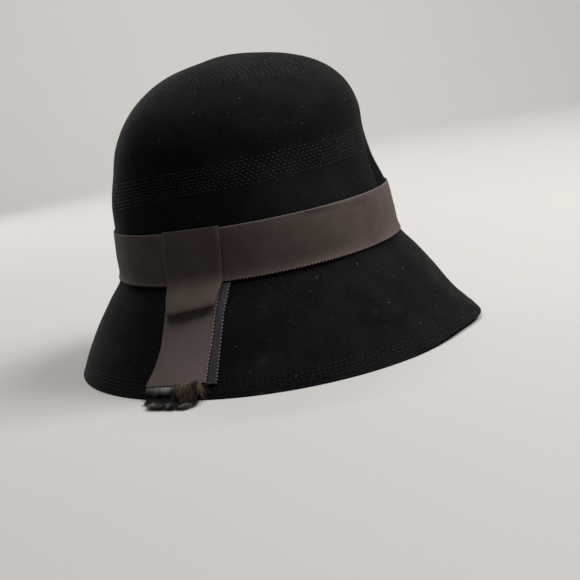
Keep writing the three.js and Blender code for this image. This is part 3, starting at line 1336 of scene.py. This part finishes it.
@dataclass
class HatBand:
    """The ribbon round the foot of the crown."""

    form: HatForm
    weave: Grosgrain
    stand_off: float = 1.3
    cross_rows: tuple[float, ...] = (
        0, 0.014, 0.035, 0.08, 0.16, 0.28, 0.42, 0.56, 0.68, 0.78, 0.86, 0.92, 0.965, 0.986, 1,
    )
    # Angle in degrees and height of the crease's two ends.
    crease_start: tuple[float, float] = (56.0, 103.2)
    crease_end: tuple[float, float] = (14.0, 99.4)
    crease_depth: float = 0.45
    crease_half: float = 1.3
    crease_fade: float = 0.25
    crease_lip: float = 2.2
    lip_share: float = 0.6
    slack: tuple[Wave, ...] = (Wave(7, 0.08, 0.0, 0.12), Wave(13, 0.05, 0.0, 0.1))
    flare: float = 0.35
    flare_share: float = 0.12
    flutter: Wave = Wave(9, 0.0, 0.0, 0.5)
    foot_loop: float = 0.8
    foot_tone: float = 0.7
    head_loop: float = 0.2
    head_tone: float = 0.3
    samples: int = 1440

    def ring(self) -> tuple[Array, Array]:
        """Angles round the band and the length of ribbon up to each."""
        angle = np.linspace(0.0, TURN, self.samples)
        row = np.full_like(angle, (self.form.band_foot + self.form.band_head) / 2)
        return angle, run_length(self.form.offset(self.form.blocked, angle, row, self.stand_off))

    def flat_size(self) -> tuple[float, float]:
        """Width and length of the ribbon when it is flat."""
        return self.form.band_width, float(self.ring()[1][-1])

    def folds(self, angle: Array, height: Array) -> Array:
        """Soft crease and slack of the ribbon.

        Args:
            angle: Angles round the hat.
            height: Heights on the band.

        Returns:
            Distance that the ribbon stands out or in.
        """
        degrees = np.degrees(np.arctan2(np.sin(angle), np.cos(angle)))
        share = (degrees - self.crease_start[0]) / (self.crease_end[0] - self.crease_start[0])
        below = (height - mix(self.crease_start[1], self.crease_end[1], share)) / self.crease_half
        above = below - self.crease_lip / self.crease_half
        inside = smoothstep(share, 0.0, self.crease_fade) * (1 - smoothstep(share, 1 - self.crease_fade, 1.0))
        groove = np.exp(-(below**2)) - self.lip_share * np.exp(-(above**2))
        slack = sum(wave.at(angle, height) for wave in self.slack)
        return slack - self.crease_depth * inside * groove

    def build(self) -> bpy.types.Object:
        """The band as one closed ring of ribbed ribbon."""
        ring, length = self.ring()
        levels = np.array(self.cross_rows, dtype=float)
        bm = flat_patch(self.weave.faces_in(length[-1]), len(levels) - 1)
        grid = coordinates(bm)
        angle = np.interp(grid[:, 0] * length[-1], length, ring)
        ribs = self.weave.ribs(grid[:, 0], length[-1])
        loops = self.weave.loops(grid[:, 0], length[-1])
        level = levels[np.rint(grid[:, 1] * (len(levels) - 1)).astype(int)]
        side = np.where(level == 0, -1.0, 0.0) + np.where(level == 1, 1.0, 0.0)
        reach = np.where(level < 0.5, self.foot_loop, self.head_loop) * self.weave.loop
        pulled = level + side * loops * reach / self.form.band_width
        row = mix(self.form.band_foot, self.form.band_head, pulled)
        lift = self.stand_off + ribs * self.weave.rib_height / 2
        lift += self.folds(angle, self.form.blocked(angle, row)[:, 2])
        foot = 1 - smoothstep(level, 0.0, self.flare_share)
        lift += self.flare * foot * (1 + self.flutter.at(angle, level))
        move_to(bm, self.form.place(self.form.offset(self.form.blocked, angle, row, lift)))
        mark(bm, "rib", ribs)
        mark(bm, "fade", np.zeros(len(grid)))
        inset = np.minimum(level, 1 - level) * self.form.band_width
        foot_light = self.foot_tone * self.weave.edge_light(loops, inset)
        head_light = self.head_tone * self.weave.edge_light(np.ones_like(loops), inset)
        mark(bm, "edge", np.where(level < 0.5, foot_light, head_light))
        weld(bm)
        bmesh.ops.reverse_faces(bm, faces=bm.faces)
        piece = object_from(bm, "band_ribbon")
        self.weave.thicken(piece)
        return piece

    def dress(self, finish: bpy.types.Material) -> None:
        """Adds the band with its finish, drawn tight round the crown.

        Args:
            finish: The ribbon's material.
        """
        piece = self.build()
        dress_piece(piece, finish, Slot.RIBBON, "hat_band")
        self.flat_size()


@dataclass(frozen=True)
class StrapRow:
    """One place along a strap: height on the felt, edges in degrees, lift off the felt and slant."""

    height: float
    back_edge: float
    front_edge: float
    lift: float
    slant: float = 0.0


@dataclass
class Strap:
    """A length of ribbon laid down the hat's side."""

    name: str
    node: str
    held: Held
    form: HatForm
    weave: Grosgrain
    rows: tuple[StrapRow, ...]
    across: int = 26
    edge_crowding: float = 0.75
    curl: float = 0.0
    curl_width: float = 0.07
    ripple: float = 0.15
    ripple_across: float = 1.3
    ripple_along: float = 0.9
    rib_share: float = 0.22
    face: float = 1.0
    # Length and lightness of the loops on the back and the front edge.
    edge_loops: tuple[float, float] = (0.3, 0.3)
    edge_tones: tuple[float, float] = (0.0, 0.0)
    end_tone: float = 0.0
    end_width: float = 0.9
    # Share of a lighter, greyer colour at the strap's start and end: partly fading, partly painted light
    # bounced up from below.
    fade: tuple[float, float] = (0.0, 0.0)
    samples: int = 240

    def point(self, across: Array, along: Array, lift: Array | float) -> Array:
        """Places on the strap.

        Args:
            across: Shares of the width, from the back edge to the front edge.
            along: Shares of the rows, from the first to the last.
            lift: Extra distance off the felt.

        Returns:
            One point for each triple.
        """
        table = [[row.height, row.back_edge, row.front_edge, row.lift, row.slant] for row in self.rows]
        height, back_edge, front_edge, stand_off, slant = table_columns(np.array(table), along)
        angle = np.radians(mix(back_edge, front_edge, across))
        row = self.form.row_at(angle, height + slant * (across - 0.5))
        return self.form.offset(self.form.blocked, angle, row, stand_off + lift)

    def lengths(self) -> tuple[Array, Array]:
        """Places along the strap's middle and the length of ribbon up to each."""
        place = np.linspace(0.0, 1.0, self.samples)
        return place, run_length(self.point(np.full_like(place, 0.5), place, self.face))

    def flat_size(self) -> tuple[float, float]:
        """Width and length of the ribbon when it is flat."""
        ends = self.point(np.array([0.0, 1.0]), np.full(2, 0.5), self.face)
        return float(np.linalg.norm(ends[1] - ends[0])), float(self.lengths()[1][-1])

    def build(self) -> bpy.types.Object:
        """The strap as a ribbed ribbon."""
        place, length = self.lengths()
        bm = flat_patch(self.across, self.weave.faces_in(length[-1]))
        grid = coordinates(bm)
        across = mix(grid[:, 0], (1 - np.cos(math.pi * grid[:, 0])) / 2, self.edge_crowding)
        along = np.interp(grid[:, 1] * length[-1], length, place)
        ribs = self.rib_share * self.weave.ribs(grid[:, 1], length[-1])
        loops = self.weave.loops(grid[:, 1], length[-1])
        side = np.isclose(across, 1.0) * 1.0 - np.isclose(across, 0.0) * 1.0
        width = self.flat_size()[0]
        reach = np.where(across < 0.5, *self.edge_loops) * self.weave.loop
        pulled = across + side * loops * reach / width
        inset = np.minimum(across, 1 - across)
        curl = self.curl * (1 - smoothstep(inset, 0.0, self.curl_width)) ** 2
        waves = self.ripple_across * across + self.ripple_along * grid[:, 1]
        ripple = self.ripple * np.sin(TURN * waves)
        lift = self.face + ribs * self.weave.rib_height / 2 + ripple + curl
        move_to(bm, self.form.place(self.point(pulled, along, lift)))
        mark(bm, "rib", ribs)
        # Painted light, partly fading: lighter towards the strap's end.
        mark(bm, "fade", mix(*self.fade, smoothstep(grid[:, 1], 0.0, 1.0)))
        light = np.where(across < 0.5, *self.edge_tones) * self.weave.edge_light(loops, inset * width)
        cut = self.end_tone * (1 - smoothstep((1 - grid[:, 1]) * length[-1], 0.0, self.end_width))
        mark(bm, "edge", np.maximum(light, cut))
        bmesh.ops.reverse_faces(bm, faces=bm.faces)
        piece = object_from(bm, self.name)
        self.weave.thicken(piece)
        return piece

    def dress(self, finish: bpy.types.Material, fringe: list[bpy.types.Object]) -> None:
        """Adds the strap with its finish.

        Args:
            finish: The ribbon's material.
            fringe: Pieces of loose threads at its end; not used.
        """
        piece = self.build()
        dress_piece(piece, finish, Slot.RIBBON, self.node)
        self.flat_size()


KNOT_ROWS = (
    StrapRow(106.6, 108.0, 85.0, 1.7),
    StrapRow(96.0, 108.6, 85.5, 1.7),
    StrapRow(84.0, 109.3, 86.2, 1.8),
    StrapRow(75.5, 109.4, 86.7, 2.1, 0.5),
    StrapRow(70.5, 109.2, 87.0, 2.9, 1.2),
    StrapRow(62.0, 107.9, 88.0, 4.6, 3.0),
    StrapRow(54.2, 106.2, 89.5, 5.5, 4.0),
    StrapRow(52.4, 106.0, 89.8, 5.0, 4.0),
    StrapRow(53.6, 106.2, 89.7, 3.7, 4.0),
    StrapRow(60.0, 107.4, 88.6, 2.8, 3.0),
)
FRONT_TAIL_ROWS = (
    StrapRow(68.2, 108.6, 88.2, 1.6),
    StrapRow(50.0, 107.4, 90.2, 1.6),
    StrapRow(33.0, 107.1, 91.3, 1.6),
    StrapRow(21.0, 108.3, 92.3, 1.6, 1.0),
    StrapRow(9.0, 110.7, 93.0, 1.7, 2.5),
)
BACK_TAIL_ROWS = (
    StrapRow(68.2, 104.6, 84.6, 0.3),
    StrapRow(51.0, 106.4, 87.3, 0.3),
    StrapRow(27.0, 108.0, 89.3, 0.3),
    StrapRow(8.6, 110.0, 90.4, 0.4, 1.6),
)


@dataclass(frozen=True)
class ThreadStop:
    """One place along loose threads: distance out from the tail, share of its height and tone there, the tone
    a painted shade: low in the tuft's hollow, higher on the lip and the curled ends.
    """

    out: float
    height: float
    tone: float


@dataclass(frozen=True)
class ThreadLayer:
    """A layer of loose threads that lie side by side in clumps."""

    name: str
    stops: tuple[ThreadStop, ...]
    count: int
    clumps: int
    radius: float
    spread: float
    unevenness: float
    contrast: float
    lift: float = 2.0
    first: float = 0.0
    last: float = 1.0
    crowding: float = 1.0
    tint: float = 0.0
    nodes: tuple[str, ...] = ()
    seed: int = 5


# Each stop's tone is painted shade: low where threads lie in the tuft's hollow, higher on the lip and the
# curled ends.
THREAD_LAYERS = (
    ThreadLayer(
        "long_threads",
        (
            ThreadStop(-2.0, 0.96, 0.10),
            ThreadStop(0.5, 0.78, 0.02),
            ThreadStop(2.2, 0.46, 0.0),
            ThreadStop(5.0, 0.22, 0.0),
            ThreadStop(9.5, 0.12, 0.0),
            ThreadStop(15.0, 0.14, 0.04),
            ThreadStop(20.0, 0.22, 0.20),
            ThreadStop(23.5, 0.14, 0.05),
        ),
        count=1000,
        clumps=14,
        radius=0.16,
        spread=1.5,
        unevenness=0.10,
        contrast=0.9,
        last=0.8,
        nodes=("frayed_end",),
    ),
    ThreadLayer(
        "short_threads",
        (
            ThreadStop(-2.0, 0.98, 0.60),
            ThreadStop(0.8, 1.00, 0.70),
            ThreadStop(2.6, 0.88, 0.66),
            ThreadStop(3.9, 0.64, 0.40),
            ThreadStop(4.0, 0.42, 0.08),
        ),
        count=800,
        clumps=17,
        radius=0.14,
        spread=1.3,
        unevenness=0.26,
        contrast=0.6,
        last=0.66,
        seed=8,
    ),
    ThreadLayer(
        "side_threads",
        (
            ThreadStop(-2.6, 1.18, 0.30),
            ThreadStop(-0.2, 1.12, 0.46),
            ThreadStop(2.2, 0.92, 0.46),
            ThreadStop(4.2, 0.64, 0.38),
            ThreadStop(6.4, 0.38, 0.28),
            ThreadStop(9.5, 0.18, 0.18),
            ThreadStop(13.0, 0.10, 0.10),
        ),
        count=460,
        clumps=11,
        radius=0.14,
        spread=2.6,
        unevenness=0.30,
        contrast=0.7,
        lift=3.0,
        first=0.44,
        last=0.94,
        crowding=0.6,
        tint=0.8,
        seed=13,
    ),
)


@dataclass
class FrayedEnd:
    """Loose threads at the foot of the tails, laid on the floor, with shorter ones that stand over them."""

    form: HatForm
    back_edge: float = 110.6
    front_edge: float = 93.2
    back_height: float = 8.4
    front_height: float = 10.0
    lean: float = 34.0
    # Share of the way from the back to the front edge, and reach of the threads there.
    reaches: tuple[tuple[float, float], ...] = (
        (0.0, 0.88),
        (0.26, 1.0),
        (0.55, 0.95),
        (0.72, 0.85),
        (0.86, 0.6),
        (1.0, 0.4),
    )
    shortest: float = 0.2
    clump_pull: float = 0.7
    own_pull: float = 0.5
    loosening: float = 1.4
    fewest_turns: float = 0.5
    most_turns: float = 1.7
    sway: float = 0.4
    own_rise: float = 0.4
    clump_rise: float = 0.45
    wave_rise: float = 0.3
    own_shade: float = 0.6
    back_tint: tuple[float, float] = (0.03, 0.16)
    front_tint: tuple[float, float] = (0.55, 0.85)
    end_tint: float = 0.7
    tint_spread: float = 0.12
    thinnest: float = 0.7
    thickest: float = 1.25
    taper: float = 0.45
    points: int = 11
    floor_gap: float = 1.9

    def root(self, angle: Array, height: Array, lift: float) -> tuple[Array, Array]:
        """Where the threads leave the tails, and the level direction that they take.

        Args:
            angle: Angles round the hat.
            height: Heights on the felt.
            lift: Distance off the felt.

        Returns:
            The points and the directions.
        """
        normal = self.form.slopes(self.form.blocked, angle, np.zeros_like(angle))[1]
        normal[:, 2] = 0.0
        level = unit(normal)
        c, s = math.cos(math.radians(self.lean)), math.sin(math.radians(self.lean))
        turned = level[:, :2] @ np.array([[c, s], [-s, c]])
        start = self.form.offset(self.form.blocked, angle, self.form.row_at(angle, height), lift)
        return start, np.column_stack([turned, np.zeros(len(angle))])

    def build(self, layer: ThreadLayer) -> bpy.types.Object:
        """A layer of threads as one mesh.

        Args:
            layer: The layer.

        Returns:
            The object.
        """
        draw = np.random.default_rng(layer.seed)
        share = mix(layer.first, layer.last, draw.uniform(0.0, 1.0, layer.count) ** layer.crowding)
        clump = (share * layer.clumps).astype(int)
        pull, raised, tone_shift = draw.normal(0.0, 1.0, (3, 2 * layer.clumps))[:, clump]
        height = mix(self.back_height, self.front_height, share)
        angle = np.radians(mix(self.back_edge, self.front_edge, share))
        start, direction = self.root(angle, height, layer.lift)
        side = np.cross(direction, [0.0, 0.0, 1.0])
        place = np.linspace(0.0, 1.0, self.points)
        reach = np.interp(share, *zip(*self.reaches))
        own_pull = draw.normal(0.0, self.own_pull, layer.count)
        reach = reach + layer.unevenness * (self.clump_pull * pull + own_pull)
        along = np.clip(reach, self.shortest, 1.0)[:, None] * place
        stops = np.array([[stop.out, stop.height, stop.tone] for stop in layer.stops])
        out, drop, tone = (column.reshape(along.shape) for column in table_columns(stops, along.ravel()))
        free = place[None, :] ** self.loosening * layer.spread
        own, drift = draw.normal(0.0, 1.0, (2, layer.count, 1))
        turns = draw.uniform(self.fewest_turns, self.most_turns, (layer.count, 1))
        wave = TURN * (draw.uniform(0.0, 1.0, (layer.count, 1)) + turns * place)
        sway = free * (drift + self.sway * np.sin(wave))
        clump_rise = self.clump_rise * raised[:, None]
        rise = free * (self.own_rise * own + clump_rise + self.wave_rise * np.cos(wave))
        points = start[:, None, :] + direction[:, None, :] * out[..., None]
        points = points + side[:, None, :] * sway[..., None]
        points[..., 2] = np.maximum(height[:, None] * drop + rise, self.floor_gap * layer.radius)
        own_shade = draw.normal(0.0, self.own_shade, layer.count)
        # Painted shade along each thread, varied at random by clump and by thread.
        painted_shading = np.clip(tone * np.exp(layer.contrast * (tone_shift + own_shade))[:, None], 0.0, 1.0)
        ends = 1 - smoothstep(share, *self.back_tint) + smoothstep(share, *self.front_tint)
        own_tint = draw.normal(0.0, self.tint_spread, layer.count)
        tints = np.clip(layer.tint + self.end_tint * ends + own_tint, 0.0, 1.0)
        thickness = draw.uniform(self.thinnest, self.thickest, (layer.count, 1))
        radii = layer.radius * thickness * (1 - self.taper * place)
        radii[:, [0, -1]] = 0.0
        paths = self.form.place(points.reshape(-1, 3)).reshape(points.shape)
        marks = {"tone": painted_shading, "tint": np.broadcast_to(tints[:, None], painted_shading.shape)}
        return strands_from(layer.name, paths, radii * MM, marks)

    def dress(self, finish: FrayFinish) -> list[bpy.types.Object]:
        """Adds every layer of threads with the finish.

        Args:
            finish: The threads' finish.

        Returns:
            The pieces, for the tail that they hang from.
        """
        material = finish.material()
        pieces = [self.build(layer) for layer in THREAD_LAYERS]
        for piece, layer in zip(pieces, THREAD_LAYERS):
            dress_piece(piece, material, Slot.THREADS, *layer.nodes)
        return pieces


# Stage


@dataclass(frozen=True)
class StudioLight:
    """A soft rectangular light aimed at the hat, placed from the camera's view."""

    name: str
    right: float
    up: float
    away: float
    size: float
    power: float
    colour: tuple[float, float, float] = (1.0, 0.98, 0.96)
    aim: tuple[float, float, float] = (0.0, 0.1, 0.0)


@dataclass
class Studio:
    """Pale floor that sweeps up all round, soft lights and the camera."""

    form: HatForm
    distance: float = 703.5
    elevation: float = 15.80
    azimuth: float = 22.0
    roll: float = -11.35
    yaw: float = 1.14
    pitch: float = 2.73
    focal_pixels: float = 904.3
    frame_pixels: float = 580.0
    sensor: float = 36.0
    clip_start: float = 0.01
    floor_stops: tuple[float, ...] = (0.0, 0.4, 0.8, 1.2)
    floor_radius: float = 1.7
    sweep_radius: float = 0.9
    sweep_steps: int = 12
    wall_top: float = 2.4
    wall_columns: int = 96
    surround: Colour = (0.95, 0.97, 1.0, 1.0)
    surround_strength: float = 0.04
    lights: tuple[StudioLight, ...] = (
        StudioLight("key_light", 1.0, 1.25, -0.15, 0.7, 55.0, (1.0, 0.97, 0.94)),
        StudioLight("top_light", 0.12, 1.9, -0.15, 0.8, 43.0),
        StudioLight("back_light", -0.95, 0.45, 1.25, 0.5, 6.0),
        StudioLight("wall_light", 0.0, 1.9, 0.9, 0.8, 105.0, aim=(0.0, 0.7, 2.6)),
    )

    def camera_axes(self) -> tuple[Vector, Vector, Vector, Vector]:
        """Camera's place in the hat's frame, and its forward, right and up directions."""
        e, a = math.radians(self.elevation), math.radians(self.azimuth)
        toward = Vector((-math.cos(a) * math.cos(e), -math.sin(a) * math.cos(e), math.sin(e)))
        top = Vector((0.0, 0.0, 1.0))
        right = (-toward).cross(top).normalized()
        up = right.cross(-toward)
        forward = -toward + math.tan(math.radians(self.yaw)) * right + math.tan(math.radians(self.pitch)) * up
        forward.normalize()
        right = forward.cross(top).normalized()
        up = right.cross(forward)
        c, s = math.cos(math.radians(self.roll)), math.sin(math.radians(self.roll))
        return toward * self.distance, forward, c * right + s * up, c * up - s * right

    def add_camera(self) -> None:
        """Adds the camera at the photograph's angle."""
        place, forward, right, up = self.camera_axes()
        data = bpy.data.cameras.new("view")
        data.sensor_width = self.sensor
        data.lens = self.focal_pixels / self.frame_pixels * self.sensor
        data.clip_start = self.clip_start
        camera = bpy.data.objects.new("view", data)
        turn = Matrix((right, up, -forward)).transposed().to_4x4()
        camera.matrix_world = Matrix.Translation(Vector(self.form.place(np.array(place)))) @ turn
        bpy.context.scene.collection.objects.link(camera)
        bpy.context.scene.camera = camera

    def add_floor(self) -> None:
        """Adds the floor, a wide disc that curves up to a wall."""
        bm = bmesh.new()
        stops = [(reach, 0.0) for reach in self.floor_stops]
        for turn in np.linspace(0.0, math.pi / 2, self.sweep_steps + 1):
            reach = self.floor_radius + self.sweep_radius * math.sin(turn)
            stops.append((reach, self.sweep_radius * (1 - math.cos(turn))))
        stops.append((self.floor_radius + self.sweep_radius, self.wall_top))
        line = [bm.verts.new((reach, 0.0, height)) for reach, height in stops]
        edges = [bm.edges.new(pair) for pair in zip(line, line[1:])]
        bmesh.ops.spin(
            bm,
            geom=line + edges,
            cent=(0, 0, 0),
            axis=(0, 0, 1),
            angle=TURN,
            steps=self.wall_columns,
            use_merge=True,
        )
        weld(bm)
        floor = object_from(bm, "studio_floor")
        floor.data.materials.append(FloorFinish().material())

    def add_lights(self) -> None:
        """Adds the lights and the soft surround."""
        _, forward, right, _ = self.camera_axes()
        away = Vector((forward.x, forward.y, 0.0)).normalized()
        level = Vector((right.x, right.y, 0.0)).normalized()
        top = Vector((0.0, 0.0, 1.0))
        for light in self.lights:
            data = bpy.data.lights.new(light.name, "AREA")
            data.energy = light.power
            data.size = light.size
            data.color = light.colour
            lamp = bpy.data.objects.new(light.name, data)
            lamp.location = level * light.right + top * light.up + away * light.away
            target = level * light.aim[0] + top * light.aim[1] + away * light.aim[2]
            lamp.rotation_euler = (target - lamp.location).to_track_quat("-Z", "Y").to_euler()
            bpy.context.scene.collection.objects.link(lamp)
        world = bpy.data.worlds.new("soft_surround")
        world.use_nodes = True
        background = world.node_tree.nodes["Background"]
        background.inputs["Color"].default_value = self.surround
        background.inputs["Strength"].default_value = self.surround_strength
        bpy.context.scene.world = world
        bpy.context.scene.view_settings.view_transform = "Standard"


def main() -> None:
    """Builds and dresses the hat piece by piece."""
    logging.basicConfig(level=logging.INFO, format="%(name)s %(message)s")
    form = HatForm.inside(*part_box("felt_body"))
    studio = Studio(form)
    studio.add_camera()
    studio.add_floor()
    studio.add_lights()

    body = FeltBody(form)
    body.dress(FeltFinish())
    Topstitching(body).dress()
    fringe = FrayedEnd(form).dress(FrayFinish())

    weave = Grosgrain()
    mauve = RibbonFinish("mauve_grosgrain").material()
    # Painted shade: the back tail gets a darker, bluish copy of the ribbon's finish, standing in for shade
    # and skylight.
    painted_shade_blue_grey = RibbonFinish(
        "blue_grey_grosgrain",
        crest=(0.026, 0.025, 0.028, 1.0),
        shaded_furrow=(0.014, 0.014, 0.016, 1.0),
        rubbed=(0.038, 0.037, 0.040, 1.0),
        selvage=(0.105, 0.104, 0.110, 1.0),
    ).material()
    HatBand(form, weave).dress(mauve)
    knot = Strap("knot_ribbon", "bow_knot", Held.FOLDED, form, weave, KNOT_ROWS, curl=-0.5)
    knot.dress(mauve, [])
    front_tail = Strap(
        "front_tail_ribbon",
        "bow_tail_front",
        Held.LAID,
        form,
        weave,
        FRONT_TAIL_ROWS,
        curl=0.4,
        edge_loops=(0.7, 1.0),
        edge_tones=(0.1, 0.75),
        end_tone=0.5,
        # The front tail grows lighter towards its end: partly fading, partly painted light from below.
        fade=(0.35, 1.0),
    )
    front_tail.dress(mauve, fringe)
    back_tail = Strap(
        "back_tail_ribbon",
        "bow_tail_back",
        Held.LAID,
        form,
        weave,
        BACK_TAIL_ROWS,
        curl=0.2,
        ripple=0.05,
        edge_loops=(0.5, 1.0),
        edge_tones=(0.0, 0.7),
    )
    back_tail.dress(painted_shade_blue_grey, [])


if __name__ == "__main__":
    main()
